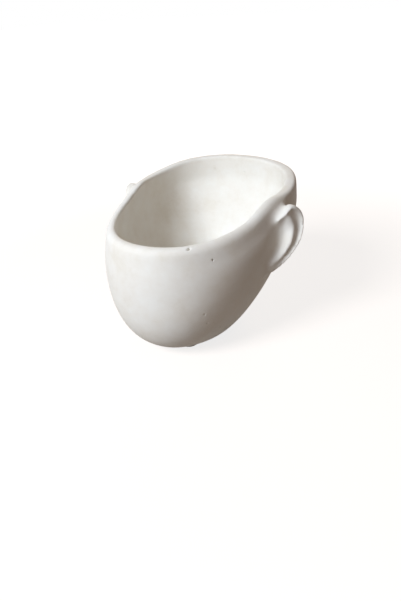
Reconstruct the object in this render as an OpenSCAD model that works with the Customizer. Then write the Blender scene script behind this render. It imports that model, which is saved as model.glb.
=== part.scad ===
// Concrete planter: a plain, rounded pot in a head form, with an ear cast on each side.
// Frame: millimetres, +Z up, front towards -Y, the origin under the middle of the pot at
// table height. The pot stands on four rubber pads, and a rubber plug closes its drain.

/* [Pot] */
// Width of the pot without the ears
pot_w = 130; // [120:1:145]
// Length of the pot from front to back
pot_l = 162; // [150:1:180]
// Distance of the widest place behind the middle
wide_back = 10; // [6:0.5:14]
// Thickness of the cast wall
wall = 9; // [8:0.5:11]
// Thickness of the floor
floor_t = 12; // [9:0.5:16]

/* [Rim] */
// Height of the rim at the front
rim_front_h = 88; // [82:1:94]
// Height of the rim above the ears
rim_side_h = 102.5; // [99:0.5:105]
// Height of the rim at the back
rim_back_h = 111; // [107:1:115]
// Rounding of the rim's inner edge
rim_round = 1.25; // [0.75:0.25:1.5]
// How far in the rim's outer edge is rounded at the front
rim_soft_in = 6; // [3:0.25:6.25]
// How far down the rim's outer edge is rounded at the front
rim_soft_drop = 10; // [5:0.5:12]
// Rounding of the rim's outer edge at the back
rim_back_round = 3; // [1.5:0.25:4]

/* [Belly] */
// Height at which the front bulges most
belly_front_h = 52; // [46:1:60]
// Height at which the sides bulge most
belly_side_h = 82; // [74:1:88]
// Height at which the back bulges most
belly_back_h = 94; // [86:1:99]
// How far the rim draws in from the belly
tuck = 2.5; // [1:0.25:4]

/* [Foot] */
// Width of the flat underside
foot_w = 62; // [54:1:70]
// Length of the flat underside
foot_l = 80; // [72:1:88]
// Distance of the underside's middle in front of the middle of the pot
foot_fore = 18; // [13:0.5:22]

/* [Ears] */
// Height of an ear
ear_h = 52; // [47:1:56]
// Width of an ear
ear_w = 33; // [29:0.5:36]
// Thickness of an ear at its edge
ear_t = 5; // [4:0.25:6]
// Angle at which an ear stands off the pot
ear_flare = 27; // [21:1:33]
// Angle at which an ear leans back
ear_lean = 32; // [24:1:38]
// Height of the middle of an ear
ear_mid_h = 83; // [79:1:85]
// How far the lobe draws in towards the pot
ear_lobe_in = 9; // [6:0.5:11]
// Distance of an ear's front edge in front of the widest place
ear_fore = 22; // [16:0.5:25]

/* [Drain] */
// Bore of the drain hole
drain_d = 12; // [9:0.5:14]
// Gap all round between the plug's stem and the hole
plug_gap = 0.06; // [0.02:0.01:0.1]
// Width of the flange that seals on the floor
plug_flange_d = 20; // [18:0.5:24]
// Thickness of the flange
plug_flange_t = 2.5; // [2:0.25:3.5]
// Height of the grip above the flange
plug_grip_h = 8; // [6:0.5:10]
// Width of the grip
plug_grip_d = 10; // [8:0.5:12]
// How far the stem stops short of the underside
stem_short = 3; // [2:0.25:4]

/* [Foot pads] */
// Width of a pad
pad_d = 14; // [10:0.5:16]
// Thickness of a pad
pad_t = 3; // [2:0.25:4]
// Distance from the edge of the underside to a pad
pad_inset = 3; // [2:0.5:6]
// Angle from the pot's side at which a pad sits
pad_angle = 53; // [40:1:60]

/* [Hidden] */

$fn = 64;

// Columns of the cast surface, and rows of its outside, its upper wall, its edges and its bowl
columns = 80;
side_rows = 12;
upper_rows = 6;
edge_rows = 5;
bowl_rows = 11;

// Points round an ear, and rings on its face
ear_columns = 52;
ear_rings = 11;

// Reach of the cut through the floor, past both faces
overrun = 1;

belly_front = pot_l / 2 + wide_back;
belly_back = pot_l / 2 - wide_back;
floor_z = pad_t + floor_t;

function mix(a, b, t) = a + (b - a) * t;

// Smooth rise from 0 to 1 between the two ends of a range
function rise(t, ends) =
    let (c = min(1, max(0, (t - ends[0]) / (ends[1] - ends[0])))) c * c * (3 - 2 * c);

// Smooth ridge of height 1, given as [place, width]
function ridge(t, shape) = exp(-pow((t - shape[0]) / shape[1], 2));

// Slope at station i of a table of [angle, value] rows, level at both ends
function slope(t, i) =
    i == 0 || i == len(t) - 1 ? 0
    : (t[i + 1][1] - t[i - 1][1]) / (t[i + 1][0] - t[i - 1][0]);

function span(t, x, i = 0) = i >= len(t) - 2 || x < t[i + 1][0] ? i : span(t, x, i + 1);

// Smooth curve through a table of [angle, value] rows
function curve(t, x) =
    let (
        i = span(t, x),
        d = t[i + 1][0] - t[i][0],
        u = (x - t[i][0]) / d,
        a = u * u * (3 - 2 * u),
        b = u * (1 - u) * (1 - u),
        e = u * u * (u - 1)
    )
    mix(t[i][1], t[i + 1][1], a) + (slope(t, i) * b + slope(t, i + 1) * e) * d;

// Squareness on plan of the pot's front and back and of the underside, where 2 is an oval
front_plan_share = 2.12;
back_plan_share = 2.45;
foot_plan_share = 2;

// Fullness of the curve from the foot to the belly, at the front, the sides and the back
fullness_shares = [[0, 2.5], [50, 1.9], [90, 1.6], [125, 1.4], [180, 1.4]];

// Rim: angle from the front, share of the rise to the sides, share of the way to the back
rim_shares = [
    [0, 0, 0],
    [30, 0.05, 0],
    [46, 0.2, 0],
    [60, 0.42, 0],
    [73, 0.74, 0],
    [84, 0.97, 0],
    [94, 1, 0],
    [110, 1, 0.12],
    [138, 1, 0.68],
    [180, 1, 1]
];

// Angles between which the rim turns from the front's form into the back's, which draws in less
back_ends = [72, 112];
back_tuck_share = 0.1;

// Most of the upper wall's height that the rim's outer rounding may take
soft_reach_share = 0.7;

// Heights of the rim and of the belly, by the angle from the front
rim_stations = [
    for (s = rim_shares)
        [s[0], mix(mix(rim_front_h, rim_side_h, s[1]), rim_back_h, s[2])]
];
belly_stations = [[0, belly_front_h], [90, belly_side_h], [180, belly_back_h]];

// Distance from the axis to an oval with its own reach to the sides, the front and the back
function oval_r(angle, side, front, back, square) =
    let (reach = abs(angle) < 90 ? front : back)
    pow(pow(abs(sin(angle)) / side, square) + pow(abs(cos(angle)) / reach, square), -1 / square);

function belly_r(angle) =
    let (square = abs(angle) < 90 ? front_plan_share : back_plan_share)
    oval_r(angle, pot_w / 2, belly_front, belly_back, square);
function foot_r(angle) = oval_r(angle, foot_w / 2, foot_l / 2, foot_l / 2, foot_plan_share);
function belly_z(angle) = curve(belly_stations, abs(angle));
function rim_z(angle) = curve(rim_stations, abs(angle));
function fullness(angle) = curve(fullness_shares, abs(angle));

// Point at an angle from the front, a distance from the axis and a height
function at(angle, r, z) = [r * sin(angle), wide_back - r * cos(angle), z];

// Point at a height, a share of the way out from the underside's oval to the belly's
function between(angle, inset, out, z) =
    let (foot = foot_r(angle) - inset, belly = at(angle, belly_r(angle) - inset, z))
    mix([foot * sin(angle), -foot_fore - foot * cos(angle), z], belly, out);

// Quarter of a round curve as [outward, upward] shares, from a flat start to an upright end
function quarter(a, full) = [pow(sin(a), 2 / full), 1 - pow(cos(a), 2 / full)];

// The outside leaves the underside at this step of the quarter, so the foot has a clear edge
foot_step = 22;

function side_point(angle, t) =
    let (
        start = quarter(foot_step, fullness(angle)),
        q = quarter(mix(foot_step, 90, t), fullness(angle)),
        out = (q[0] - start[0]) / (1 - start[0]),
        up = (q[1] - start[1]) / (1 - start[1])
    )
    between(angle, 0, out, mix(pad_t, belly_z(angle), up));

// Radius of the outside, at a share of the way from the belly to the rim
function upper_r(angle, t) =
    belly_r(angle) - tuck * mix(1, back_tuck_share, rise(abs(angle), back_ends)) * t * t;

// How far in the rim's outer edge is rounded, and how far down, short of the belly
function soft_in(angle) = mix(rim_soft_in, rim_back_round, rise(abs(angle), back_ends));
function soft_drop(angle) = min(
    mix(rim_soft_drop, rim_back_round, rise(abs(angle), back_ends)),
    (rim_z(angle) - belly_z(angle)) * soft_reach_share
);

function upper_point(angle, t) =
    at(angle, upper_r(angle, t), mix(belly_z(angle), rim_z(angle) - soft_drop(angle), t));

function inner_point(angle, t) =
    at(angle, upper_r(angle, t) - wall, mix(belly_z(angle), rim_z(angle) - rim_round, t));

function rim_outer_point(angle, a) = at(
    angle,
    upper_r(angle, 1) - soft_in(angle) * (1 - cos(a)),
    rim_z(angle) - soft_drop(angle) * (1 - sin(a))
);

function rim_inner_point(angle, a) = at(
    angle,
    upper_r(angle, 1) - wall + rim_round * (1 - cos(a)),
    rim_z(angle) - rim_round * (1 - sin(a))
);

function bowl_point(angle, a) =
    let (q = quarter(a, fullness(angle)))
    between(angle, wall, q[0], mix(floor_z, belly_z(angle), q[1]));

angles = [for (i = [0:columns - 1]) 360 * i / columns - 180];

shell_rings = concat(
    [for (k = [0:side_rows - 1]) [for (a = angles) side_point(a, k / side_rows)]],
    [for (k = [0:upper_rows - 1]) [for (a = angles) upper_point(a, k / upper_rows)]],
    [for (k = [0:edge_rows]) [for (a = angles) rim_outer_point(a, 90 * k / edge_rows)]],
    [for (k = [edge_rows:-1:0]) [for (a = angles) rim_inner_point(a, 90 * k / edge_rows)]],
    [for (k = [upper_rows - 1:-1:1]) [for (a = angles) inner_point(a, k / upper_rows)]],
    [for (k = [bowl_rows:-1:0]) [for (a = angles) bowl_point(a, 90 * k / bowl_rows)]]
);

// Closed skin over a stack of rings, with a fan to a point at each end
module skin(rings, first, last) {
    n = len(rings[0]);
    m = len(rings);
    polyhedron(
        points = concat([for (r = rings) each r], [first, last]),
        faces = concat(
            [for (k = [0:m - 2], i = [0:n - 1])
                let (a = k * n + i, b = k * n + (i + 1) % n, c = a + n, d = b + n)
                    each (i < n / 2 ? [[a, d, b], [a, c, d]] : [[a, c, b], [b, c, d]])],
            [for (i = [0:n - 1]) [m * n, i, (i + 1) % n]],
            [for (i = [0:n - 1]) [m * n + 1, (m - 1) * n + (i + 1) % n, (m - 1) * n + i]]
        )
    );
}

// Heights and depths of an ear's relief, in shares of its width
ear_roll_share = 0.17;
ear_fold_share = 0.09;
ear_hollow_share = 0.25;

// What is left of the width at the lower end, of the relief at the lobe, of the roll in front
ear_low_share = 0.42;
ear_top_share = 0.78;
ear_lobe_share = 0.3;
ear_front_share = 0.1;

// Places on the ear run from -1 to 1, front to back and lower end to top, and its middle is 0
ear_widening_shares = [-1, 1.1];
ear_lobe_shares = [-0.95, -0.15];
ear_front_shares = [0, 0.6];
ear_front_slant_share = 0.5;
ear_fold_reach_shares = [-0.15, 0.35];
ear_fold_up_share = 0.1;

// The rolled rim and the fold as [place, width] on the way from the middle to the edge
ear_roll_shares = [0.87, 0.12];
ear_fold_shares = [0.5, 0.13];
ear_hollow_reach_share = 0.8;
ear_hollow_round_share = 0.7;
ear_edge_square_share = 8;

// Where the lobe draws in, and how deep and where the front edge dips into the wall
ear_lobe_in_shares = [-0.2, 1.1];
ear_dip_share = 0.5;
ear_dip_shares = [0.4, 1];

// The root as shares of the wall, and of the ear's width where it starts and ends
ear_sink_share = 0.4;
ear_root_share = 0.25;
ear_root_shares = [-0.74, -0.4];

// Roundness of the ear's outline on plan of its plate, less at the top than below
function ear_across(a) =
    let (square = sin(a) > 0 ? mix(1, ear_top_share, sin(a)) : 1)
    sign(cos(a)) * pow(abs(cos(a)), square);

// Place on the ear, as [from its front edge to its back edge, up], narrow at the lower end
function ear_place(a, s) = [
    ear_w / 2 * (1 + s * ear_across(a) * mix(ear_low_share, 1, rise(s * sin(a), ear_widening_shares))),
    ear_h / 2 * s * sin(a)
];

// Outward height of the ear's face: a rolled rim that fades at the front and at the lobe,
// an inner fold along the back and a hollow
function ear_face(a, s) =
    let (
        back = s * cos(a),
        up = s * sin(a),
        low = mix(ear_lobe_share, 1, rise(up, ear_lobe_shares)),
        front = rise(-back - ear_front_slant_share * up, ear_front_shares),
        roll = ear_roll_share * mix(1, ear_front_share, front) * ridge(s, ear_roll_shares),
        fold = ear_fold_share * rise(back, ear_fold_reach_shares)
            * ridge(norm([back, up - ear_fold_up_share]), ear_fold_shares),
        dip = max(0, 1 - pow(s / ear_hollow_reach_share, 2)),
        hollow = ear_hollow_share * pow(dip, ear_hollow_round_share)
    )
    ear_w * low * (roll + fold - hollow);

// Inward depth of the root, which fills the space behind the ear's front half and ends in the wall
function ear_root(u, s) =
    rise(-u / ear_w, ear_root_shares) * sqrt(max(0, 1 - s * s))
        * (u * tan(ear_flare) + wall * ear_root_share);

// Half the thickness of the ear's plate, rounded off at its edge
function ear_half(s) = ear_t / 2 * sqrt(max(0, 1 - pow(s, ear_edge_square_share)));

// How far the plate bends inward, at its lobe and at its front edge
function ear_bend(a, s) =
    ear_lobe_in * rise(-s * sin(a), ear_lobe_in_shares)
        + ear_t * ear_dip_share * rise(-s * cos(a), ear_dip_shares);

function ear_face_point(a, s) =
    let (p = ear_place(a, s)) [ear_half(s) + ear_face(a, s) - ear_bend(a, s), p[0], p[1]];

// The back follows the hollow of the face, so that the plate keeps its thickness
function ear_rear_point(a, s) =
    let (p = ear_place(a, s), plate = ear_half(s) - min(0, ear_face(a, s)))
        [-max(plate, ear_root(p[0], s)) - ear_bend(a, s), p[0], p[1]];

function ear_ring_share(k) = sin(90 * k / ear_rings);

ear_angles = [for (i = [0:ear_columns - 1]) 360 * i / ear_columns];

module ear() {
    rings = concat(
        [for (k = [1:ear_rings]) [for (a = ear_angles) ear_rear_point(a, ear_ring_share(k))]],
        [for (k = [ear_rings - 1:-1:1]) [for (a = ear_angles) ear_face_point(a, ear_ring_share(k))]]
    );
    translate([pot_w / 2 - wall * ear_sink_share, wide_back - ear_fore, ear_mid_h])
        rotate([-ear_lean, 0, 0])
            rotate([0, 0, -ear_flare])
                skin(rings, ear_rear_point(0, 0), ear_face_point(0, 0));
}

// The casting: wall, floor and ears in one pour, with the drain bored through the floor
module planter_shell() {
    color("#e6e3da")
        difference() {
            union() {
                skin(shell_rings, [0, -foot_fore, pad_t], [0, -foot_fore, floor_z]);
                ear();
                mirror([1, 0, 0])
                    ear();
            }
            translate([0, -foot_fore, pad_t - overrun])
                cylinder(d = drain_d, h = floor_t + 2 * overrun);
        }
}

plug_neck_share = 0.55;
plug_neck_h_share = 0.45;
plug_round_share = 0.3;
plug_lead_share = 0.12;

// Rubber stopper, turned: a stem in the hole, a flange on the floor and a grip to pull
module drain_plug() {
    stem_r = drain_d / 2 - plug_gap;
    stem_low = pad_t + stem_short;
    lead = drain_d * plug_lead_share;
    flange_r = plug_flange_d / 2;
    flange_top = floor_z + plug_flange_t;
    flange_round = plug_flange_t * plug_round_share;
    grip_r = plug_grip_d / 2;
    grip_top = flange_top + plug_grip_h;
    grip_round = plug_grip_h * plug_round_share;
    neck_r = grip_r * plug_neck_share;
    neck_top = flange_top + plug_grip_h * plug_neck_h_share;
    color("#6b6b68")
        translate([0, -foot_fore, 0])
            rotate_extrude()
                polygon(concat(
                    [[0, stem_low], [stem_r - lead, stem_low], [stem_r, stem_low + lead]],
                    [[stem_r, floor_z], [flange_r, floor_z]],
                    [for (a = [0:30:90]) [
                        flange_r - flange_round * (1 - cos(a)),
                        flange_top - flange_round * (1 - sin(a))
                    ]],
                    [[neck_r + flange_round, flange_top], [neck_r, flange_top + flange_round]],
                    [[neck_r, neck_top], [grip_r, neck_top + (grip_r - neck_r) / 2]],
                    [for (a = [0:22.5:90]) [
                        grip_r - grip_round * (1 - cos(a)),
                        grip_top - grip_round * (1 - sin(a))
                    ]],
                    [[0, grip_top]]
                ));
}

pad_round_share = 0.25;

// Glued rubber pad with a rounded lower edge, at one quarter of the underside
module foot_pad(side, end) {
    pad_round = pad_t * pad_round_share;
    across = (foot_w / 2 - pad_inset - pad_d / 2) * cos(pad_angle);
    along = (foot_l / 2 - pad_inset - pad_d / 2) * sin(pad_angle);
    color("#c4c1b9")
        translate([side * across, end * along - foot_fore, 0])
            rotate_extrude()
                polygon(concat(
                    [[0, 0]],
                    [for (a = [90:-30:0]) [
                        pad_d / 2 - pad_round * (1 - cos(a)),
                        pad_round * (1 - sin(a))
                    ]],
                    [[pad_d / 2, pad_t], [0, pad_t]]
                ));
}

planter_shell();
drain_plug();
foot_pad(1, -1);  // foot_pad_front_left
foot_pad(-1, -1);  // foot_pad_front_right
foot_pad(1, 1);  // foot_pad_back_left
foot_pad(-1, 1);  // foot_pad_back_right
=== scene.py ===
"""White cast concrete planter in a plain head form, dressed for a studio picture.

The pot is one casting with two ears. It stands on four rubber pads, and a rubber
stopper closes its drain. Every length is in metres and every object sits at the origin.
"""

import logging
import math
import random
from collections.abc import Callable, Sequence
from dataclasses import dataclass, field
from enum import Enum

import bmesh
import bpy
from mathutils import Matrix, Vector, noise
from mathutils.bvhtree import BVHTree


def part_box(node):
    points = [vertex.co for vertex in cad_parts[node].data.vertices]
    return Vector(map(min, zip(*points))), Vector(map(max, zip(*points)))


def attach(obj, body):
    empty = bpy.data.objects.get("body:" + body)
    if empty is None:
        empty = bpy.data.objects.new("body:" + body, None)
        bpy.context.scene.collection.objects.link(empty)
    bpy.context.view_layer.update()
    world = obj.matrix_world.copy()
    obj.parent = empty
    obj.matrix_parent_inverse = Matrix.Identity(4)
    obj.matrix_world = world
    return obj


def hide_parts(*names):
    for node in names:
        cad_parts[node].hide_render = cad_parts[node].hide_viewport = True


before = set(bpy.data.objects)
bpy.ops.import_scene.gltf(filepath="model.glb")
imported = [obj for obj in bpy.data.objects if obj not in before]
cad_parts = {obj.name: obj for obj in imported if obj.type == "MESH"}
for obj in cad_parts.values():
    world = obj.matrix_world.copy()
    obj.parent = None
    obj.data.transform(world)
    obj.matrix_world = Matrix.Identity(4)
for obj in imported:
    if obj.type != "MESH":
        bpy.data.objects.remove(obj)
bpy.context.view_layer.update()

MM = 0.001
LOG = logging.getLogger("planter")

# Points that lie closer than this are one point
ONE_POINT = 0.002 * MM

Station = tuple[float, float]
# A ring of the casting: the point at each angle, in degrees from the front
Ring = Callable[[float], Vector]


class Side(Enum):
    """Which side of the head form an ear is cast on, as the sign of X."""

    LEFT = 1
    RIGHT = -1


class Corner(Enum):
    """The pad at each quarter of the underside, by the name of its CAD node."""

    FRONT_LEFT = "foot_pad_front_left"
    FRONT_RIGHT = "foot_pad_front_right"
    BACK_LEFT = "foot_pad_back_left"
    BACK_RIGHT = "foot_pad_back_right"


def mix(low: float, high: float, share: float) -> float:
    """Return the value that lies a share of the way from low to high."""
    return low + (high - low) * share


def rise(value: float, ends: tuple[float, float]) -> float:
    """Return a smooth step.

    Args:
        value: where to read the step.
        ends: where it starts to climb and where it is done.

    Returns:
        0 before the first end, 1 after the second, and a smooth climb between.
    """
    share = min(1.0, max(0.0, (value - ends[0]) / (ends[1] - ends[0])))
    return share * share * (3 - 2 * share)


def ridge(value: float, shape: tuple[float, float]) -> float:
    """Return the height of a smooth ridge.

    Args:
        value: where to read the ridge.
        shape: its place and its width.

    Returns:
        1 on the ridge, falling to 0 on both sides.
    """
    return math.exp(-(((value - shape[0]) / shape[1]) ** 2))


def through(stations: Sequence[Station], angle: float) -> float:
    """Read a smooth curve that is level at both ends.

    Args:
        stations: (angle, value) pairs in rising order of angle.
        angle: where to read it, in degrees.

    Returns:
        The value of the curve there.
    """

    def slope(index: int) -> float:
        """Return the curve's slope at one station.

        Args:
            index: the station's number.

        Returns:
            The slope between its neighbours, or 0 at both ends of the curve.
        """
        if index in (0, len(stations) - 1):
            return 0.0
        before, after = stations[index - 1], stations[index + 1]
        return (after[1] - before[1]) / (after[0] - before[0])

    span = 0
    while span < len(stations) - 2 and angle >= stations[span + 1][0]:
        span += 1
    (start, low), (end, high) = stations[span], stations[span + 1]
    step = end - start
    u = (angle - start) / step
    rest = 1 - u
    bend = slope(span) * u * rest * rest - slope(span + 1) * u * u * rest
    return mix(low, high, u * u * (3 - 2 * u)) + bend * step


def quarter(angle: float, full: float) -> tuple[float, float]:
    """Return how far out and up a rounded quarter curve has come at an angle in degrees."""
    turn = math.radians(angle)
    return math.sin(turn) ** (2 / full), 1 - max(0.0, math.cos(turn)) ** (2 / full)


def srgb(code: str) -> tuple[float, float, float, float]:
    """Turn an sRGB hex colour into the linear colour that a shader takes.

    Args:
        code: a colour such as "#E8E4DC".

    Returns:
        Its linear red, green and blue, and an alpha of 1.
    """
    shares = [int(code[i:i + 2], 16) / 255 for i in (1, 3, 5)]
    linear = [s / 12.92 if s <= 0.04045 else ((s + 0.055) / 1.055) ** 2.4 for s in shares]
    return linear[0], linear[1], linear[2], 1.0


def add_node(
    tree: bpy.types.NodeTree,
    kind: str,
    settings: dict[str, object] | None = None,
    links: dict[str, bpy.types.NodeSocket] | None = None,
) -> bpy.types.Node:
    """Add a shader node.

    Args:
        tree: the node tree that it goes into.
        kind: Blender's name of the node type.
        settings: values by name, for the node's own settings or its input sockets.
        links: sockets to take an input from, by the input's name or its number.

    Returns:
        The new node.
    """
    node = tree.nodes.new(kind)
    for name, value in (settings or {}).items():
        if hasattr(node, name):
            setattr(node, name, value)
        else:
            node.inputs[int(name) if name.isdigit() else name].default_value = value
    for name, socket in (links or {}).items():
        tree.links.new(socket, node.inputs[int(name) if name.isdigit() else name])
    return node


def between_tones(
    tree: bpy.types.NodeTree,
    value: bpy.types.NodeSocket,
    ends: tuple[float, float],
    low: str | bpy.types.NodeSocket,
    high: str,
) -> bpy.types.NodeSocket:
    """Tint a surface from one tone to another, as a pattern on it rises.

    Args:
        tree: the material's node tree.
        value: the pattern's value.
        ends: the values at which the first tone ends and the second is reached.
        low: the first tone, as sRGB hex or as the socket of a tint made before.
        high: the second tone, as sRGB hex.

    Returns:
        The socket that gives the tint.
    """
    share = add_node(
        tree, "ShaderNodeMapRange", {"From Min": ends[0], "From Max": ends[1]}, {"Value": value}
    )
    settings: dict[str, object] = {"data_type": "RGBA", "7": srgb(high)}
    links = {"0": share.outputs["Result"]}
    if isinstance(low, str):
        settings["6"] = srgb(low)
    else:
        links["6"] = low
    return add_node(tree, "ShaderNodeMix", settings, links).outputs[2]


def new_material(name: str) -> tuple[bpy.types.Material, bpy.types.Node, bpy.types.NodeSocket]:
    """Start a material.

    Args:
        name: the finish's name.

    Returns:
        The material, its Principled shader and the piece's own coordinates in metres.
    """
    material = bpy.data.materials.new(name)
    material.use_nodes = True
    tree = material.node_tree
    place = add_node(tree, "ShaderNodeTexCoord")
    return material, tree.nodes["Principled BSDF"], place.outputs["Object"]


@dataclass(frozen=True)
class Mottle:
    """A soft random pattern: the size of its blots, its finer layers and their strength."""

    size_mm: float
    detail: float
    roughness: float = 0.5


@dataclass(frozen=True)
class WhiteCastConcrete:
    """Fine white concrete, cast in a smooth rubber mould and rubbed down at the rim.

    Cement with marble dust gives a chalky white with faint warm clouds where it dried
    unevenly, a dry surface with almost no gloss, a fine grain and a few tiny air holes.
    """

    light: str = "#EDEBE4"
    middle: str = "#E9E5DC"
    stain: str = "#E0DACD"
    # Damp dries out of the casting in clouds a few centimetres wide, with blots in them
    clouds: Mottle = Mottle(34.0, 4.0, 0.6)
    patches: Mottle = Mottle(9.0, 3.0, 0.6)
    patch_share: float = 0.35
    # The pattern's values between which the stain fades, and the light tone is reached
    stain_ends: tuple[float, float] = (0.3, 0.47)
    light_ends: tuple[float, float] = (0.47, 0.62)
    # The mould's slight unevenness, from a rubber skin brushed on in strokes
    skin: Mottle = Mottle(5.0, 3.0, 0.6)
    skin_depth_mm: float = 0.09
    # Marble dust of about 0.1 mm, drawn at 0.9 mm so that it shows in the picture
    grain: Mottle = Mottle(0.9, 2.0, 0.6)
    grain_depth_mm: float = 0.035
    # Air holes of about 0.6 mm, some 4 mm apart
    pore_mm: float = 4.2
    pore_share: float = 0.07
    pore_depth_mm: float = 0.25
    roughness: tuple[float, float] = (0.62, 0.82)
    rough_ends: tuple[float, float] = (0.3, 0.7)
    ior: float = 1.5
    specular: float = 0.35

    def material(self) -> bpy.types.Material:
        """Build the finish.

        Returns:
            The material.
        """
        material, shader, place = new_material("white_cast_concrete")
        tree = material.node_tree
        clouds, patches, skin, grain = (
            add_node(
                tree, "ShaderNodeTexNoise",
                {"Scale": 1 / (mottle.size_mm * MM), "Detail": mottle.detail,
                 "Roughness": mottle.roughness},
                {"Vector": place},
            ).outputs["Fac"]
            for mottle in (self.clouds, self.patches, self.skin, self.grain)
        )
        blotches = add_node(
            tree, "ShaderNodeMix", {"data_type": "FLOAT", "Factor": self.patch_share},
            {"2": clouds, "3": patches},
        ).outputs[0]
        tone = between_tones(tree, blotches, self.stain_ends, self.stain, self.middle)
        tone = between_tones(tree, blotches, self.light_ends, tone, self.light)
        tree.links.new(tone, shader.inputs["Base Color"])
        shader.inputs["IOR"].default_value = self.ior
        shader.inputs["Specular IOR Level"].default_value = self.specular
        rough = add_node(
            tree, "ShaderNodeMapRange",
            {"From Min": self.rough_ends[0], "From Max": self.rough_ends[1],
             "To Min": self.roughness[0], "To Max": self.roughness[1]},
            {"Value": patches},
        )
        tree.links.new(rough.outputs["Result"], shader.inputs["Roughness"])
        normal: dict[str, bpy.types.NodeSocket] = {}
        for height, depth_mm in (
            (self.air_holes(tree, place), self.pore_depth_mm),
            (skin, self.skin_depth_mm),
            (grain, self.grain_depth_mm),
        ):
            bump = add_node(
                tree, "ShaderNodeBump", {"Strength": 1.0, "Distance": depth_mm * MM},
                {"Height": height, **normal},
            )
            normal = {"Normal": bump.outputs["Normal"]}
        tree.links.new(normal["Normal"], shader.inputs["Normal"])
        return material

    def air_holes(
        self, tree: bpy.types.NodeTree, place: bpy.types.NodeSocket
    ) -> bpy.types.NodeSocket:
        """Scatter tiny air holes over the skin.

        Args:
            tree: the material's node tree.
            place: the piece's own coordinates.

        Returns:
            A height that is 1 on the surface and drops to 0 in the holes.
        """
        cells = add_node(
            tree, "ShaderNodeTexVoronoi",
            {"Scale": 1 / (self.pore_mm * MM), "Randomness": 1.0}, {"Vector": place},
        )
        hole = add_node(
            tree, "ShaderNodeMapRange",
            {"interpolation_type": "SMOOTHSTEP", "From Min": 0.0,
             "From Max": self.pore_share, "To Min": 0.0, "To Max": 1.0},
            {"Value": cells.outputs["Distance"]},
        )
        return hole.outputs["Result"]


@dataclass(frozen=True)
class MouldedRubber:
    """Compression-moulded rubber: a satin skin that picks up pale concrete dust."""

    name: str
    body: str
    dusty: str
    # Dust lies in blots of a few millimetres, and dulls the skin where it lies
    dust: Mottle = Mottle(3.5, 5.0, 0.65)
    dust_ends: tuple[float, float] = (0.42, 0.78)
    # The mould's spark-eroded texture is about 0.1 mm, drawn at 0.4 mm so that it shows
    grain: Mottle = Mottle(0.4, 2.0)
    grain_depth_mm: float = 0.02
    roughness: tuple[float, float] = (0.48, 0.72)
    rough_ends: tuple[float, float] = (0.35, 0.75)
    ior: float = 1.52

    def material(self) -> bpy.types.Material:
        """Build the finish.

        Returns:
            The material.
        """
        material, shader, place = new_material(self.name)
        tree = material.node_tree
        dust, grain = (
            add_node(
                tree, "ShaderNodeTexNoise",
                {"Scale": 1 / (mottle.size_mm * MM), "Detail": mottle.detail,
                 "Roughness": mottle.roughness},
                {"Vector": place},
            ).outputs["Fac"]
            for mottle in (self.dust, self.grain)
        )
        tone = between_tones(tree, dust, self.dust_ends, self.body, self.dusty)
        tree.links.new(tone, shader.inputs["Base Color"])
        rough = add_node(
            tree, "ShaderNodeMapRange",
            {"From Min": self.rough_ends[0], "From Max": self.rough_ends[1],
             "To Min": self.roughness[0], "To Max": self.roughness[1]},
            {"Value": dust},
        )
        tree.links.new(rough.outputs["Result"], shader.inputs["Roughness"])
        bump = add_node(
            tree, "ShaderNodeBump",
            {"Strength": 1.0, "Distance": self.grain_depth_mm * MM},
            {"Height": grain},
        )
        tree.links.new(bump.outputs["Normal"], shader.inputs["Normal"])
        shader.inputs["IOR"].default_value = self.ior
        return material


def to_object(form: bmesh.types.BMesh, name: str) -> bpy.types.Object:
    """Turn a finished bmesh into an object at the origin.

    Args:
        form: the bmesh, which is freed.
        name: the new object's name.

    Returns:
        The object, with smooth faces.
    """
    mesh = bpy.data.meshes.new(name)
    form.to_mesh(mesh)
    form.free()
    mesh.shade_smooth()
    piece = bpy.data.objects.new(name, mesh)
    bpy.context.scene.collection.objects.link(piece)
    return piece


def settle_modifiers(piece: bpy.types.Object) -> None:
    """Replace a piece's mesh by what its modifiers make of it, and drop them.

    Args:
        piece: the object whose modifiers are settled.
    """
    graph = bpy.context.evaluated_depsgraph_get()
    rough = piece.data
    piece.data = bpy.data.meshes.new_from_object(piece.evaluated_get(graph))
    piece.modifiers.clear()
    bpy.data.meshes.remove(rough)


def turned(
    outline: Sequence[tuple[float, float]], centre: Vector, steps: int
) -> bmesh.types.BMesh:
    """Spin an outline about an upright axis into a closed solid.

    Args:
        outline: (radius, height) points that start and end on the axis.
        centre: a point on the axis; its height is added to the outline's.
        steps: how many steps the full turn has.

    Returns:
        The solid, with its faces outwards.
    """
    form = bmesh.new()
    points = [form.verts.new((centre.x + r, centre.y, centre.z + z)) for r, z in outline]
    edges = [form.edges.new(pair) for pair in zip(points, points[1:])]
    bmesh.ops.spin(
        form, geom=points + edges, cent=centre, axis=(0, 0, 1),
        angle=math.tau, steps=steps, use_merge=True,
    )
    bmesh.ops.remove_doubles(form, verts=form.verts, dist=ONE_POINT)
    bmesh.ops.recalc_face_normals(form, faces=form.faces)
    return form


def rounded(
    corner: tuple[float, float], radius: float, start: float, steps: int = 6
) -> list[tuple[float, float]]:
    """Return the points of a quarter-round edge.

    Args:
        corner: (radius, height) of the round's middle.
        radius: the round's own radius.
        start: the angle at which it starts, in degrees up from straight outward.
        steps: how many steps it has.

    Returns:
        Its points over the quarter turn from there.
    """
    turns = [math.radians(start + 90 * k / steps) for k in range(steps + 1)]
    return [(corner[0] + radius * math.cos(t), corner[1] + radius * math.sin(t)) for t in turns]


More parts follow.
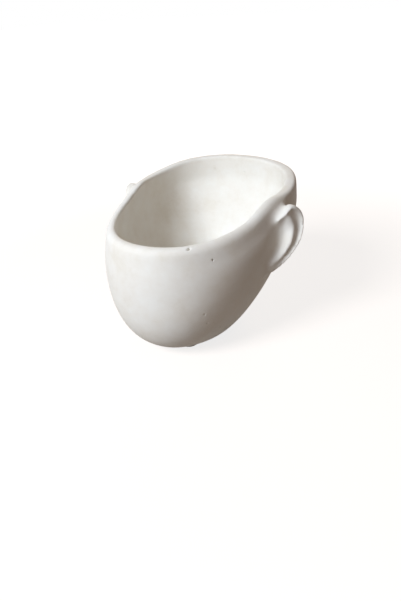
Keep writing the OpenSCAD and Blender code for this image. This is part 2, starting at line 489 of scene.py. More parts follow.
def stretch(
    point: Callable[[float, float], Vector], steps: int, first: int, last: int, full: float = 1.0
) -> list[Ring]:
    """Return the rings of one stretch of the casting.

    Args:
        point: gives a point at an angle and a way along the stretch.
        steps: how many steps the whole stretch has.
        first: the step of the first ring.
        last: the step of the last ring, which may come before the first one.
        full: the way along the whole stretch.

    Returns:
        The rings in order.
    """
    way = range(first, last + 1) if last > first else range(first, last - 1, -1)
    return [lambda angle, now=full * step / steps: point(angle, now) for step in way]


@dataclass(frozen=True)
class RingCounts:
    """How many steps each stretch of the casting has, from the drain round to the bowl."""

    underside: int = 12
    foot_edge: int = 4
    side: int = 44
    outer_wall: int = 16
    outer_edge: int = 12
    inner_edge: int = 6
    inner_wall: int = 20
    bowl: int = 40
    bottom: int = 10


@dataclass
class PotForm:
    """The pot's own shape: a deep oval bowl whose rim dips at the front.

    Angles are in degrees from the front. Groups of three heights are those at the front,
    the sides and the back.
    """

    width: float = 130 * MM
    wide_back: float = 10 * MM
    wall: float = 9 * MM
    floor: float = 12 * MM
    rim_heights: tuple[float, float, float] = (88 * MM, 102.5 * MM, 111 * MM)
    # The crisp inner edge, the soft outer edge's way in and down, and the back's round edge
    rim_round: float = 1.25 * MM
    rim_soft_in: float = 6 * MM
    rim_soft_drop: float = 10 * MM
    rim_back_round: float = 3 * MM
    # Angles between which the rim turns from the front's form into the back's
    back_ends: tuple[float, float] = (72.0, 112.0)
    belly_heights: tuple[float, float, float] = (52 * MM, 82 * MM, 94 * MM)
    # How far the wall leans in from the belly to the rim, and the share of it at the back
    tuck: float = 2.5 * MM
    back_tuck: float = 0.1
    foot_width: float = 62 * MM
    foot_length: float = 80 * MM
    foot_round: float = 1.5 * MM
    # Share of the side's curve that the foot's rounded edge takes
    foot_edge_share: float = 0.05
    drain_r: float = 6.25 * MM
    drain_edge: float = 0.7 * MM
    # How square each oval is, 2 being an ellipse
    front_square: float = 2.12
    back_square: float = 2.45
    foot_square: float = 2.0
    # Where on its quarter curve the side starts at the foot, and how full the curve is
    foot_step: float = 22.0
    fullness: tuple[Station, ...] = ((0, 2.5), (50, 1.9), (90, 1.6), (125, 1.4), (180, 1.4))
    # Angle from the front, share of the rise to the sides, share of the way to the back
    rim_shares: tuple[tuple[float, float, float], ...] = (
        (0, 0, 0), (30, 0.05, 0), (46, 0.2, 0), (60, 0.42, 0), (73, 0.74, 0), (84, 0.97, 0),
        (94, 1, 0), (110, 1, 0.12), (138, 1, 0.68), (180, 1, 1),
    )
    steps: RingCounts = field(default_factory=RingCounts)
    length: float = field(init=False)
    base: float = field(init=False)
    drain_y: float = field(init=False)
    rim_stations: list[Station] = field(init=False)
    belly_stations: list[Station] = field(init=False)

    def __post_init__(self) -> None:
        """Take the length, the underside's height and the drain's place from the frame."""
        low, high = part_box("planter_shell")
        plug_low, plug_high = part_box("drain_plug")
        self.length = high.y - low.y
        self.base = low.z
        self.drain_y = (plug_low.y + plug_high.y) / 2
        front, side, back = self.rim_heights
        self.rim_stations = [
            (angle, mix(mix(front, side, up), back, along))
            for angle, up, along in self.rim_shares
        ]
        front, side, back = self.belly_heights
        self.belly_stations = [(0, front), (90, side), (180, back)]

    def oval(self, angle: float, side: float, front: float, back: float, square: float) -> float:
        """Return how far an oval reaches from its axis.

        Args:
            angle: the angle from the front.
            side: its reach to both sides.
            front: its reach to the front.
            back: its reach to the back.
            square: how square it is, 2 being an ellipse.

        Returns:
            Its reach at the angle.
        """
        reach = front if abs(angle) < 90 else back
        turn = math.radians(angle)
        total = abs(math.sin(turn) / side) ** square + abs(math.cos(turn) / reach) ** square
        return total ** (-1 / square)

    def belly_r(self, angle: float) -> float:
        """Return the pot's reach where it is widest.

        Args:
            angle: the angle from the front.

        Returns:
            The distance of the outer surface from the pot's axis.
        """
        square = self.front_square if abs(angle) < 90 else self.back_square
        half = self.length / 2
        return self.oval(
            angle, self.width / 2, half + self.wide_back, half - self.wide_back, square
        )

    def foot_r(self, angle: float) -> float:
        """Return the reach of the flat underside."""
        half = self.foot_length / 2
        return self.oval(angle, self.foot_width / 2, half, half, self.foot_square)

    def belly_z(self, angle: float) -> float:
        """Return the height at which the pot is widest."""
        return through(self.belly_stations, abs(angle))

    def rim_z(self, angle: float) -> float:
        """Return the height of the rim."""
        return through(self.rim_stations, abs(angle))

    def full(self, angle: float) -> float:
        """Return how full the curve from the foot to the belly is."""
        return through(self.fullness, abs(angle))

    def at(self, angle: float, reach: float, height: float) -> Vector:
        """Return the point at an angle from the front, a reach and a height."""
        turn = math.radians(angle)
        return Vector(
            (reach * math.sin(turn), self.wide_back - reach * math.cos(turn), height)
        )

    def between(self, angle: float, inset: float, out: float, height: float) -> Vector:
        """Return a point on the way from the underside's oval to the widest place.

        Args:
            angle: its angle from the front.
            inset: how far inside the outer surface it lies.
            out: its share of the way out.
            height: its height.

        Returns:
            The point. The underside's oval is centred on the drain.
        """
        turn = math.radians(angle)
        reach = self.foot_r(angle) - inset
        foot = Vector((reach * math.sin(turn), self.drain_y - reach * math.cos(turn), height))
        return foot.lerp(self.at(angle, self.belly_r(angle) - inset, height), out)

    def drain(self, angle: float, extra: float, height: float) -> Vector:
        """Return a point on a circle round the drain.

        Args:
            angle: its angle from the front.
            extra: how far outside the drain's own radius it lies.
            height: its height.

        Returns:
            The point.
        """
        turn = math.radians(angle)
        reach = self.drain_r + extra
        return Vector((reach * math.sin(turn), self.drain_y - reach * math.cos(turn), height))

    def underside(self, angle: float, share: float) -> Vector:
        """Return a point on the flat underside, from the drain to the foot's edge."""
        inner = self.drain(angle, self.drain_edge, self.base)
        return inner.lerp(self.between(angle, self.foot_round, 0, self.base), share)

    def side(self, angle: float, share: float) -> Vector:
        """Return a point on the outside, from the foot to the widest place.

        Args:
            angle: its angle from the front.
            share: its share of the way up the curve.

        Returns:
            The point.
        """
        start = quarter(self.foot_step, self.full(angle))
        now = quarter(mix(self.foot_step, 90, share), self.full(angle))
        out = (now[0] - start[0]) / (1 - start[0])
        up = (now[1] - start[1]) / (1 - start[1])
        return self.between(angle, 0, out, mix(self.base, self.belly_z(angle), up))

    def foot_edge(self, angle: float, share: float) -> Vector:
        """Return a point on the rounded edge between the underside and the side.

        Args:
            angle: its angle from the front.
            share: its share of the way up the edge.

        Returns:
            The point.
        """
        flat = self.underside(angle, 1.0)
        corner = self.between(angle, 0, 0, self.base)
        lift = self.side(angle, self.foot_edge_share)
        return flat.lerp(corner, share).lerp(corner.lerp(lift, share), share)

    def towards_back(self, angle: float) -> float:
        """Return how far the rim has turned from the front's form into the back's."""
        return rise(abs(angle), self.back_ends)

    def upper_r(self, angle: float, share: float) -> float:
        """Return the reach of the outside on the way from the belly to the rim."""
        tuck = self.tuck * mix(1, self.back_tuck, self.towards_back(angle))
        return self.belly_r(angle) - tuck * share * share

    def soft_drop(self, angle: float) -> float:
        """Return how far down the rim's outer edge is rounded."""
        return mix(self.rim_soft_drop, self.rim_back_round, self.towards_back(angle))

    def outer_wall(self, angle: float, share: float) -> Vector:
        """Return a point on the outside, from the belly to where the rim's rounding starts."""
        height = mix(self.belly_z(angle), self.rim_z(angle) - self.soft_drop(angle), share)
        return self.at(angle, self.upper_r(angle, share), height)

    def inner_wall(self, angle: float, share: float) -> Vector:
        """Return a point on the inside, from the belly to where the rim's edge starts."""
        height = mix(self.belly_z(angle), self.rim_z(angle) - self.rim_round, share)
        return self.at(angle, self.upper_r(angle, share) - self.wall, height)

    def outer_edge(self, angle: float, turn: float) -> Vector:
        """Return a point on the rim's soft outer edge.

        Args:
            angle: its angle from the front.
            turn: how many degrees up the edge it lies, 90 being its top.

        Returns:
            The point.
        """
        soft = mix(self.rim_soft_in, self.rim_back_round, self.towards_back(angle))
        lean = soft * (1 - math.cos(math.radians(turn)))
        drop = self.soft_drop(angle) * (1 - math.sin(math.radians(turn)))
        return self.at(angle, self.upper_r(angle, 1) - lean, self.rim_z(angle) - drop)

    def inner_edge(self, angle: float, turn: float) -> Vector:
        """Return a point on the rim's crisp inner edge.

        Args:
            angle: its angle from the front.
            turn: how many degrees up the edge it lies, 90 being its top.

        Returns:
            The point.
        """
        lean = self.rim_round * (1 - math.cos(math.radians(turn)))
        drop = self.rim_round * (1 - math.sin(math.radians(turn)))
        reach = self.upper_r(angle, 1) - self.wall + lean
        return self.at(angle, reach, self.rim_z(angle) - drop)

    def bowl(self, angle: float, turn: float) -> Vector:
        """Return a point in the bowl.

        Args:
            angle: its angle from the front.
            turn: how many degrees up the bowl's curve it lies.

        Returns:
            The point.
        """
        out, up = quarter(turn, self.full(angle))
        height = mix(self.base + self.floor, self.belly_z(angle), up)
        return self.between(angle, self.wall, out, height)

    def bottom(self, angle: float, share: float) -> Vector:
        """Return a point on the bowl's floor.

        Args:
            angle: its angle from the front.
            share: its share of the way from the floor's edge to the drain.

        Returns:
            The point.
        """
        outer = self.bowl(angle, 0)
        inner = self.drain(angle, self.drain_edge, self.base + self.floor)
        return outer.lerp(inner, share)

    def rings(self) -> list[Ring]:
        """List the rings that the casting is made of.

        Returns:
            The rings in order, from the drain's lower edge round the outside to its upper.
        """
        count = self.steps
        return [
            lambda a: self.drain(a, 0, self.base + self.drain_edge),
            *stretch(self.underside, count.underside, 0, count.underside),
            *stretch(self.foot_edge, count.foot_edge, 1, count.foot_edge),
            *stretch(
                lambda a, s: self.side(a, mix(self.foot_edge_share, 1, s)),
                count.side, 1, count.side - 1,
            ),
            *stretch(self.outer_wall, count.outer_wall, 0, count.outer_wall - 1),
            *stretch(self.outer_edge, count.outer_edge, 0, count.outer_edge, 90),
            *stretch(self.inner_edge, count.inner_edge, count.inner_edge, 0, 90),
            *stretch(self.inner_wall, count.inner_wall, count.inner_wall - 1, 1),
            *stretch(self.bowl, count.bowl, count.bowl, 0, 90),
            *stretch(self.bottom, count.bottom, 1, count.bottom),
            lambda a: self.drain(a, 0, self.base + self.floor - self.drain_edge),
        ]


@dataclass
class EarForm:
    """A plain ear: a leaning plate with a rolled edge, an inner fold and a hollow.

    Places on it are shares of its half width, back from its middle, and of its half
    height, up from there. Heights are shares of its width. A reach is the two places
    between which something comes in, and a ridge has its place and its width.
    """

    height: float = 52 * MM
    width: float = 33 * MM
    thickness: float = 5 * MM
    # Degrees that it stands off the wall, and that its top leans back
    flare: float = 27.0
    lean: float = 32.0
    # The height of its middle, and the distance of its front before the pot's axis
    middle_z: float = 83 * MM
    fore: float = 22 * MM
    # Heights of the rolled edge, the fold and the flap, and the depth of the hollow
    roll: float = 0.13
    fold: float = 0.075
    flap: float = 0.06
    hollow: float = 0.19
    # The outline: its width at the foot and at the top's front, and how square its ends are
    low: float = 0.54
    widening: tuple[float, float] = (-1.0, 1.1)
    front_top: float = 0.5
    front_top_reach: tuple[float, float] = (0.0, 0.95)
    top_square: float = 0.78
    low_square: float = 0.95
    # What is left of the relief on the lobe, and of the rolled edge along the front
    lobe: float = 0.25
    lobe_reach: tuple[float, float] = (-0.95, -0.45)
    front: float = 0.1
    front_reach: tuple[float, float] = (0.1, 0.7)
    front_slant: float = 0.9
    roll_ridge: tuple[float, float] = (0.91, 0.1)
    # The fold runs along part of an oval round the hollow: its middle and half axes
    fold_place: tuple[float, float] = (-0.35, -0.05)
    fold_size: tuple[float, float] = (0.78, 0.68)
    fold_ridge: tuple[float, float] = (1.0, 0.2)
    fold_reach: tuple[float, float] = (-0.75, -0.2)
    hollow_reach: tuple[float, float] = (0.25, 0.95)
    # The small flap that guards the hollow at the front
    flap_place: tuple[float, float] = (-0.85, -0.12)
    flap_size: tuple[float, float] = (0.24, 0.2)
    edge_square: float = 8.0
    # How far the lobe bends in to the wall, and the front edge by shares of the thickness
    lobe_in: float = 9 * MM
    lobe_in_reach: tuple[float, float] = (-0.2, 1.1)
    dip: float = 0.5
    dip_reach: tuple[float, float] = (0.4, 1.0)
    # Shares of the wall that the ear and its root sink into it
    sink: float = 0.4
    root: float = 0.25
    root_reach: tuple[float, float] = (-0.74, -0.4)

    def place(self, turn: float, way: float) -> tuple[float, float]:
        """Return the place of a point of the ear.

        Args:
            turn: its direction from the ear's middle, in radians up from the back.
            way: its way out from there, 1 being the ear's edge.

        Returns:
            How far it lies behind the ear's front edge, and how far above its middle.
        """
        up = way * math.sin(turn)
        end_square = self.top_square if up > 0 else self.low_square
        square = mix(1, end_square, abs(math.sin(turn)))
        across = math.copysign(abs(math.cos(turn)) ** square, math.cos(turn))
        spread = mix(self.low, 1, rise(up, self.widening))
        if across < 0:
            spread *= mix(1, self.front_top, rise(up, self.front_top_reach))
        return self.width / 2 * (1 + way * across * spread), self.height / 2 * up

    def relief(self, turn: float, way: float) -> float:
        """Return how far the ear's relief stands out from its plate.

        Args:
            turn: the direction from the ear's middle, in radians up from the back.
            way: the way out from there, 1 being the ear's edge.

        Returns:
            The height of the rolled edge, the fold and the flap, less the hollow's depth.
        """
        back, up = way * math.cos(turn), way * math.sin(turn)
        strength = mix(self.lobe, 1, rise(up, self.lobe_reach))
        front = rise(-back - self.front_slant * up, self.front_reach)
        roll = self.roll * mix(1, self.front, front) * ridge(way, self.roll_ridge)
        ring = self.oval_way((back, up), self.fold_place, self.fold_size)
        fold = self.fold * rise(back, self.fold_reach) * ridge(ring, self.fold_ridge)
        to_flap = self.oval_way((back, up), self.flap_place, self.flap_size)
        flap = self.flap * ridge(to_flap, (0, 1))
        dip = self.hollow * (1 - rise(ring, self.hollow_reach))
        return self.width * strength * (roll + fold + flap - dip)

    def oval_way(
        self, spot: tuple[float, float], middle: tuple[float, float], size: tuple[float, float]
    ) -> float:
        """Return how far out from an oval's middle a spot lies, 1 being on the oval."""
        return math.hypot((spot[0] - middle[0]) / size[0], (spot[1] - middle[1]) / size[1])

    def bend(self, turn: float, way: float) -> float:
        """Return how far the plate bends inward, at its lobe and at its front edge."""
        lobe = self.lobe_in * rise(-way * math.sin(turn), self.lobe_in_reach)
        return lobe + self.thickness * self.dip * rise(-way * math.cos(turn), self.dip_reach)

    def half(self, way: float) -> float:
        """Return half the plate's thickness, rounded off at its edge."""
        return self.thickness / 2 * math.sqrt(max(0.0, 1 - way ** self.edge_square))

    def root_depth(self, along: float, way: float, wall: float) -> float:
        """Return how deep the solid root behind the ear's front half is."""
        strength = rise(-along / self.width, self.root_reach) * math.sqrt(max(0.0, 1 - way * way))
        return strength * (along * math.tan(math.radians(self.flare)) + wall * self.root)

    def point(self, turn: float, way: float, outer: bool, wall: float) -> Vector:
        """Return a point of the ear in its own frame.

        Args:
            turn: its direction from the ear's middle, in radians up from the back.
            way: its way out from there, 1 being the ear's edge.
            outer: whether it lies on the outer side.
            wall: the thickness of the pot's wall.

        Returns:
            The point: outward, back and up.
        """
        along, up = self.place(turn, way)
        relief, bend = self.relief(turn, way), self.bend(turn, way)
        if outer:
            return Vector((self.half(way) + relief - bend, along, up))
        plate = self.half(way) - min(0.0, relief)
        return Vector((-max(plate, self.root_depth(along, way, wall)) - bend, along, up))


@dataclass
class PlanterShell:
    """The casting: the pot and both ears in one pour, softened where they meet."""

    pot: PotForm = field(default_factory=PotForm)
    ear: EarForm = field(default_factory=EarForm)
    finish: WhiteCastConcrete = field(default_factory=WhiteCastConcrete)
    columns: int = 224
    ear_columns: int = 120
    ear_rows: int = 88
    voxel: float = 1.15 * MM
    quick_voxel: float = 2.0 * MM
    # How far and how often each point is drawn to its neighbours: before the fillets and after
    rub: float = 0.5
    first_passes: int = 3
    last_passes: int = 2
    # The fillet where an ear grows out of the wall
    fillet: float = 3.4 * MM
    fillet_passes: int = 26
    # Where the wall turns into the rim's soft edge
    seam_reach: float = 5.5 * MM
    seam_passes: int = 24
    # The hand-made surface is a little uneven, and only ever below its nominal place
    wave: float = 0.3 * MM
    wave_size: float = 30 * MM
    # Air holes of a millimetre, that the mould left open
    pit_count: int = 26
    pit_inset: float = 0.12 * MM
    pit_depth: float = 0.55 * MM
    pit_shares: tuple[float, float] = (0.5, 1.0)
    pit_seed: int = 11
    # Two deeper holes at the front of the rim: angle, degrees up its soft edge, and radius
    holes: tuple[tuple[float, float, float], ...] = (
        (24.5, 62.0, 1.25 * MM), (35.5, -4.0, 0.7 * MM),
    )
    hole_inset: float = 0.2 * MM
    hole_depth: float = 1.8 * MM

    def build(self) -> bpy.types.Object:
        """Cast the shell and put it in the place of its CAD solid.

        Returns:
            The casting.
        """
        bowl = self.cast_pot()
        ears = [self.cast_ear(side) for side in Side]
        shapes = [BVHTree.FromBMesh(bowl), *(BVHTree.FromBMesh(e) for e in ears)]
        for extra in ears:
            mesh = bpy.data.meshes.new("ear")
            extra.to_mesh(mesh)
            extra.free()
            bowl.from_mesh(mesh)
            bpy.data.meshes.remove(mesh)
        piece = to_object(bowl, "planter_casting")
        skin = piece.modifiers.new("one_pour", "REMESH")
        skin.mode = "VOXEL"
        skin.voxel_size = self.voxel
        settle_modifiers(piece)
        self.soften(piece, shapes)
        piece.data.materials.append(self.finish.material())
        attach(piece, "pot")
        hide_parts("planter_shell")
        return piece

    def cast_pot(self) -> bmesh.types.BMesh:
        """Build the pot as a stack of rings, extruded one from the other.

        Returns:
            A closed form, with the drain as a hole through it.
        """
        form = bmesh.new()
        turn = form.verts.layers.float.new("turn")
        made = bmesh.ops.create_circle(form, segments=self.columns, radius=1.0)
        for vert in made["verts"]:
            vert[turn] = math.degrees(math.atan2(vert.co.x, -vert.co.y))
        rings = self.pot.rings()
        self._place(made["verts"], turn, rings[0])
        first = list(form.edges)
        edges = first
        for ring in rings[1:]:
            grown = bmesh.ops.extrude_edge_only(form, edges=edges)["geom"]
            verts = [g for g in grown if isinstance(g, bmesh.types.BMVert)]
            fresh = set(verts)
            edges = [
                g for g in grown
                if isinstance(g, bmesh.types.BMEdge) and fresh.issuperset(g.verts)
            ]
            self._place(verts, turn, ring)
        bmesh.ops.bridge_loops(form, edges=first + edges)
        bmesh.ops.recalc_face_normals(form, faces=form.faces)
        return form

    def _place(
        self, verts: Sequence[bmesh.types.BMVert], turn: bmesh.types.BMLayerItem, ring: Ring
    ) -> None:
        """Move one ring's vertices to their places on the casting."""
        for vert in verts:
            vert.co = ring(vert[turn])

    def cast_ear(self, side: Side) -> bmesh.types.BMesh:
        """Press a ball into the shape of an ear.

        Args:
            side: the side of the head form that it is cast on.

        Returns:
            A closed form at its place on the pot.
        """
        form = bmesh.new()
        bmesh.ops.create_uvsphere(
            form, u_segments=self.ear_columns, v_segments=self.ear_rows, radius=1.0
        )
        ear, wall = self.ear, self.pot.wall
        for vert in form.verts:
            x, y, z = vert.co
            vert.co = ear.point(math.atan2(y, x), min(1.0, math.hypot(x, y)), z > 0, wall)
        out, back = self.pot.width / 2 - wall * ear.sink, self.pot.wide_back - ear.fore
        seat = Vector((out, back, ear.middle_z))
        placing = (
            Matrix.Diagonal((side.value, 1, 1, 1))
            @ Matrix.Translation(seat)
            @ Matrix.Rotation(math.radians(-ear.lean), 4, "X")
            @ Matrix.Rotation(math.radians(-ear.flare), 4, "Z")
        )
        bmesh.ops.transform(form, matrix=placing, verts=form.verts)
        bmesh.ops.recalc_face_normals(form, faces=form.faces)
        return form

    def soften(self, piece: bpy.types.Object, shapes: Sequence[BVHTree]) -> None:
        """Rub down the joined casting as a mould maker would, and open its air holes.

        Args:
            piece: the casting, straight after it was joined.
            shapes: the pot and the ears before they were joined.
        """
        form = bmesh.new()
        form.from_mesh(piece.data)
        self._rub(form.verts, form, self.first_passes)
        corner = [v for v in form.verts if self._in_corner(v.co, shapes)]
        LOG.info("fillet of the ears: %d points", len(corner))
        self._rub(corner, form, self.fillet_passes)
        self._rub([v for v in form.verts if self._in_seam(v.co)], form, self.seam_passes)
        self._rub(form.verts, form, self.last_passes)
        form.normal_update()
        for vert in form.verts:
            swell = 0.5 + 0.5 * noise.noise(vert.co / self.wave_size)
            vert.co -= vert.normal * self.wave * swell
        self._open(form)
        self._pit(form)
        form.to_mesh(piece.data)
        form.free()
        piece.data.shade_smooth()

    def _rub(
        self, verts: Sequence[bmesh.types.BMVert], form: bmesh.types.BMesh, passes: int
    ) -> None:
        """Smooth a part of the casting.

        Args:
            verts: the points that move.
            form: the casting.
            passes: how often they move.
        """
        chosen = list(verts)
        for _ in range(passes):
            bmesh.ops.smooth_vert(
                form, verts=chosen, factor=self.rub,
                use_axis_x=True, use_axis_y=True, use_axis_z=True,
            )

    def _in_corner(self, point: Vector, shapes: Sequence[BVHTree]) -> bool:
        """Tell whether a point lies close to both the pot and an ear."""
        near = [shape.find_nearest(point, self.fillet)[0] is not None for shape in shapes]
        return near[0] and any(near[1:])

    def _in_seam(self, point: Vector) -> bool:
        """Tell whether a point lies where the wall turns into the rim's soft edge.

        Args:
            point: a point of the casting.

        Returns:
            True near that line, which fades out towards the back.
        """
        angle = math.degrees(math.atan2(point.x, self.pot.wide_back - point.y))
        reach = self.seam_reach * (1 - self.pot.towards_back(angle))
        return (point - self.pot.outer_wall(angle, 1.0)).length < reach

    def _open(self, form: bmesh.types.BMesh) -> None:
        """Open the deeper air holes at the rim.

        Args:
            form: the casting.
        """
        for angle, turn, radius in self.holes:
            spot = self.pot.outer_edge(angle, turn)
            middle = min(form.faces, key=lambda face: (face.calc_center_median() - spot).length)
            mouth = [
                face for face in form.faces
                if (face.calc_center_median() - middle.calc_center_median()).length < radius
            ]
            bmesh.ops.inset_region(
                form, faces=mouth, thickness=self.hole_inset, depth=-self.hole_depth,
                use_even_offset=True,
            )
            for edge in {edge for face in mouth for edge in face.edges}:
                edge.smooth = False

    def _pit(self, form: bmesh.types.BMesh) -> None:
        """Open a few small air holes above the floor.

        Args:
            form: the casting.
        """
        form.faces.ensure_lookup_table()
        chance = random.Random(self.pit_seed)
        floor = self.pot.base + self.pot.floor
        taken = 0
        while taken < self.pit_count:
            face = form.faces[chance.randrange(len(form.faces))]
            centre = face.calc_center_median()
            if centre.z < floor or abs(centre.x) > self.pot.width / 2:
                continue
            depth = self.pit_depth * chance.uniform(*self.pit_shares)
            bmesh.ops.inset_region(
                form, faces=[face], thickness=self.pit_inset, depth=-depth,
                use_even_offset=True,
            )
            form.faces.ensure_lookup_table()
            taken += 1


@dataclass
class DrainPlug:
    """The rubber stopper: a stem in the drain, a thin flange and a waisted grip."""

    finish: MouldedRubber
    # The pot's floor, on which the flange lies
    floor: float = 12 * MM
    stem_r: float = 5.94 * MM
    # The stem's tapered end, which finds the hole
    lead: float = 1.44 * MM
    # The flange's thickness and its sharp lower edge
    flange: float = 2.5 * MM
    flange_edge: float = 0.3 * MM
    # The round of the flange's top edge, and of the corner where the waist grows out of it
    lip: float = 0.75 * MM
    # The waist's radius and height
    waist_r: float = 2.75 * MM
    waist: float = 3.6 * MM
    grip_r: float = 5 * MM
    # The grip's lower edge: its way in, and its lower and upper ends above the waist
    grip_edge: float = 0.3 * MM
    grip_under: float = 1.0 * MM
    grip_side: float = 1.6 * MM
    # The round of the grip's top
    crown: float = 2.4 * MM
    # The dish in it: its radius and depth, and its middle ring in shares of them
    dish_r: float = 2.6 * MM
    dish: float = 0.7 * MM
    dish_ring: tuple[float, float] = (0.8, 0.6)
    sharp_angle: float = 50.0
    steps: int = 96

    def build(self) -> bpy.types.Object:
        """Turn the stopper and put it in the place of its CAD solid.

        Returns:
            The stopper.
        """
        low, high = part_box("drain_plug")
        centre = Vector(((low.x + high.x) / 2, (low.y + high.y) / 2, 0))
        form = turned(self.outline(low.z, high.z, (high.x - low.x) / 2), centre, self.steps)
        piece = to_object(form, "drain_stopper")
        piece.data.set_sharp_from_angle(angle=math.radians(self.sharp_angle))
        piece.data.materials.append(self.finish.material())
        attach(piece, "plug")
        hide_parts("drain_plug")
        return piece

    def outline(self, low: float, high: float, flange_r: float) -> list[tuple[float, float]]:
        """Return the stopper's outline.

        Args:
            low: height of the stem's end.
            high: height of the grip's top.
            flange_r: radius of the flange.

        Returns:
            (radius, height) points from the stem's end to the grip's dished top.
        """
        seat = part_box("planter_shell")[0].z + self.floor
        flange_top = seat + self.flange
        waist_z = flange_top + self.waist
        ring_r, ring_depth = self.dish_r * self.dish_ring[0], self.dish * self.dish_ring[1]
        return [
            (0, low),
            (self.stem_r - self.lead, low),
            (self.stem_r, low + self.lead),
            (self.stem_r, seat),
            (flange_r - self.flange_edge, seat),
            (flange_r, seat + self.flange_edge),
            *rounded((flange_r - self.lip, flange_top - self.lip), self.lip, 0),
            *((self.waist_r + self.lip - x, z)
              for x, z in rounded((0, flange_top + self.lip), self.lip, -90)),
            (self.waist_r, waist_z),
            (self.grip_r - self.grip_edge, waist_z + self.grip_under),
            (self.grip_r, waist_z + self.grip_side),
            *rounded((self.grip_r - self.crown, high - self.crown), self.crown, 0),
            (self.dish_r, high),
            (ring_r, high - ring_depth),
            (0, high - self.dish),
        ]


@dataclass
class FootPad:
    """A glued rubber pad with a rounded lower edge and a shallow ring under it."""

    corner: Corner
    finish: MouldedRubber
    # Shares of the pad's height: its round lower edge, and the ring under it and the bevel
    # round its top
    edge: float = 0.25
    groove: float = 0.12
    # Shares of its radius: where the ring starts, where its bottom lies and where it ends
    ring: tuple[float, float, float, float] = (0.42, 0.46, 0.6, 0.64)
    sharp_angle: float = 40.0
    steps: int = 72

    def build(self) -> bpy.types.Object:
        """Turn the pad and put it in the place of its CAD solid.

        Returns:
            The pad.
        """
        low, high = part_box(self.corner.value)
        centre = Vector(((low.x + high.x) / 2, (low.y + high.y) / 2, low.z))
        form = turned(self.outline((high.x - low.x) / 2, high.z - low.z), centre, self.steps)
        piece = to_object(form, self.corner.value.replace("foot_pad", "rubber_pad"))
        piece.data.set_sharp_from_angle(angle=math.radians(self.sharp_angle))
        piece.data.materials.append(self.finish.material())
        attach(piece, "pot")
        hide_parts(self.corner.value)
        return piece

    def outline(self, radius: float, height: float) -> list[tuple[float, float]]:
        """Return the pad's outline.

        Args:
            radius: the pad's radius.
            height: the pad's height.

        Returns:
            (radius, height) points from the middle of its lower face to that of its upper.
        """
        edge, groove = height * self.edge, height * self.groove
        ring = zip((radius * share for share in self.ring), (0, groove, groove, 0))
        return [
            (0, 0),
            *ring,
            *rounded((radius - edge, edge), edge, -90),
            (radius, height - groove),
            (radius - groove, height),
            (0, height),
        ]


@dataclass(frozen=True)
class SoftLamp:
    """A round lamp behind a diffuser, aimed at the pot."""

    name: str
    tone: str
    power: float
    size: float
    place: tuple[float, float, float]
    aim: tuple[float, float, float] = (0.0, 0.0, 0.06)

    def hang(self) -> None:
        """Hang the lamp in the scene."""
        lamp = bpy.data.lights.new(self.name, "AREA")
        lamp.shape = "DISK"
        lamp.size = self.size
        lamp.energy = self.power
        lamp.color = srgb(self.tone)[:3]
        holder = bpy.data.objects.new(self.name, lamp)
        holder.location = self.place
        way = Vector(self.aim) - Vector(self.place)
        holder.rotation_euler = way.to_track_quat("-Z", "Y").to_euler()
        bpy.context.scene.collection.objects.link(holder)


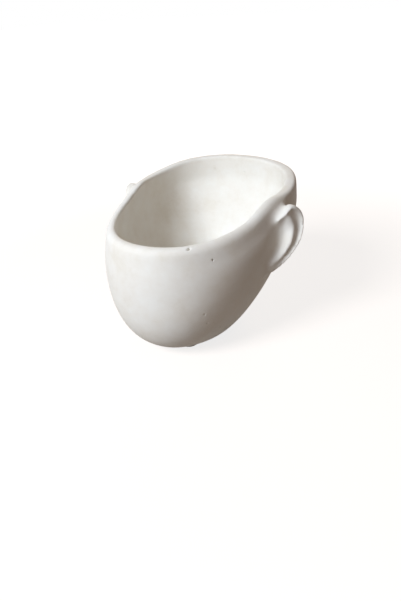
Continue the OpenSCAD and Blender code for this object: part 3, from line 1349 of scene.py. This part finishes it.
@dataclass
class Studio:
    """A white table top, a large soft lamp in front, a weak one behind, and warm room light."""

    table: float = 6.0
    table_tone: str = "#94897F"
    table_roughness: float = 0.9
    white: str = "#FFFFFF"
    # The table's glow under the pot and from where the shadow has ended: painted light that rises
    # away from the pot, where the lamps fall off
    painted_table_glow: tuple[float, float] = (0.8, 1.0)
    painted_glow_reach: tuple[float, float] = (0.22, 0.6)
    lamps: tuple[SoftLamp, ...] = (
        SoftLamp("front_lamp", "#EBF4FF", 22.5, 0.6, (-0.327, -1.069, 0.903)),
        SoftLamp("back_lamp", "#FFF8F0", 6.5, 0.8, (-0.455, 1.251, 0.493)),
    )
    around_tone: str = "#F6D8C4"
    around: float = 0.185

    def build(self) -> None:
        """Lay the table and set the light."""
        self.lay_table()
        for lamp in self.lamps:
            lamp.hang()
        self.light_room()

    def seen(self, tree: bpy.types.NodeTree) -> bpy.types.NodeSocket:
        """Tell what is looked at from what only lights the pot.

        Args:
            tree: the node tree that asks.

        Returns:
            A value that is 1 for what is seen straight, in a reflection or through glass.
        """
        path = add_node(tree, "ShaderNodeLightPath")
        first = add_node(
            tree, "ShaderNodeMath", {"operation": "MAXIMUM"},
            {"0": path.outputs["Is Camera Ray"], "1": path.outputs["Is Glossy Ray"]},
        )
        both = add_node(
            tree, "ShaderNodeMath", {"operation": "MAXIMUM"},
            {"0": first.outputs[0], "1": path.outputs["Is Transmission Ray"]},
        )
        return both.outputs[0]

    def lay_table(self) -> None:
        """Make the table top, white to the eye, which keeps a faint shadow."""
        form = bmesh.new()
        bmesh.ops.create_grid(form, x_segments=4, y_segments=4, size=self.table)
        table = to_object(form, "table_top")
        material, shader, place = new_material("white_table")
        tree = material.node_tree
        shader.inputs["Base Color"].default_value = srgb(self.table_tone)
        shader.inputs["Roughness"].default_value = self.table_roughness
        shader.inputs["Specular IOR Level"].default_value = 0.0
        # Painted light: the glow that the eye sees on the table, weaker near the pot and full
        # white further out
        glow = add_node(
            tree, "ShaderNodeEmission", {"Color": srgb(self.white)},
            {"Strength": self.glow(tree, place)},
        )
        lit = add_node(
            tree, "ShaderNodeAddShader", links={"0": shader.outputs[0], "1": glow.outputs[0]}
        )
        choice = add_node(
            tree, "ShaderNodeMixShader",
            links={"0": self.seen(tree), "1": shader.outputs[0], "2": lit.outputs[0]},
        )
        tree.links.new(choice.outputs[0], tree.nodes["Material Output"].inputs["Surface"])
        table.data.materials.append(material)

    def glow(
        self, tree: bpy.types.NodeTree, place: bpy.types.NodeSocket
    ) -> bpy.types.NodeSocket:
        """Paint light on the table: its glow rises away from the pot, where the lamps fall off,
        and stays weaker near it, where the shadow shows.

        Args:
            tree: the table material's node tree.
            place: the table's own coordinates.

        Returns:
            The strength of its white.
        """
        reach = add_node(
            tree, "ShaderNodeVectorMath", {"operation": "LENGTH"}, {"0": place}
        ).outputs["Value"]
        strength = add_node(
            tree, "ShaderNodeMapRange",
            {"interpolation_type": "SMOOTHSTEP", "From Min": self.painted_glow_reach[0],
             "From Max": self.painted_glow_reach[1], "To Min": self.painted_table_glow[0],
             "To Max": self.painted_table_glow[1]},
            {"Value": reach},
        )
        return strength.outputs["Result"]

    def light_room(self) -> None:
        """Set the light all round, and a white background to the eye."""
        world = bpy.data.worlds.new("room")
        world.use_nodes = True
        tree = world.node_tree
        soft = tree.nodes["Background"]
        soft.inputs["Color"].default_value = srgb(self.around_tone)
        soft.inputs["Strength"].default_value = self.around
        white = add_node(
            tree, "ShaderNodeBackground", {"Color": srgb(self.white), "Strength": 1.0}
        )
        choice = add_node(
            tree, "ShaderNodeMixShader",
            links={"0": self.seen(tree), "1": soft.outputs[0], "2": white.outputs[0]},
        )
        tree.links.new(choice.outputs[0], tree.nodes["World Output"].inputs["Surface"])
        bpy.context.scene.world = world


@dataclass
class PictureCamera:
    """The camera at the picture's angle."""

    # Degrees round from the front, up, and turned about the line of sight
    azimuth: float = 34.0
    elevation: float = 23.5
    roll: float = -4.0
    distance: float = 0.45
    lens: float = 35.0
    shift_y: float = -0.083
    nearest: float = 0.01
    aim: tuple[float, float, float] = (0.0, 0.0, 0.055)

    def build(self) -> None:
        """Make the camera and set it as the scene's."""
        data = bpy.data.cameras.new("picture")
        data.lens = self.lens
        data.shift_y = self.shift_y
        data.clip_start = self.nearest
        camera = bpy.data.objects.new("picture", data)
        turn, lift = math.radians(self.azimuth), math.radians(self.elevation)
        out = Vector(
            (math.sin(turn) * math.cos(lift), -math.cos(turn) * math.cos(lift), math.sin(lift))
        )
        camera.location = Vector(self.aim) + self.distance * out
        level = (-out).to_track_quat("-Z", "Y").to_matrix()
        tilt = Matrix.Rotation(math.radians(self.roll), 3, "Z")
        camera.rotation_euler = (level @ tilt).to_euler()
        bpy.context.scene.collection.objects.link(camera)
        bpy.context.scene.camera = camera


def main() -> None:
    """Build the camera, the pieces and the studio, and report each piece."""
    logging.basicConfig(level=logging.INFO, format="%(name)s: %(message)s")
    bpy.context.scene.view_settings.view_transform = "Standard"
    PictureCamera().build()
    pieces = [PlanterShell().build()]
    pieces.append(DrainPlug(MouldedRubber("plug_rubber", "#2B2B2A", "#6F6C66")).build())
    pad_finish = MouldedRubber("pad_rubber", "#C4C1B9", "#D6D3CB")
    pieces += [FootPad(corner, pad_finish).build() for corner in Corner]
    Studio().build()
    for piece in pieces:
        piece.data.calc_loop_triangles()
        LOG.info("%s: %d triangles", piece.name, len(piece.data.loop_triangles))


if __name__ == "__main__":
    main()
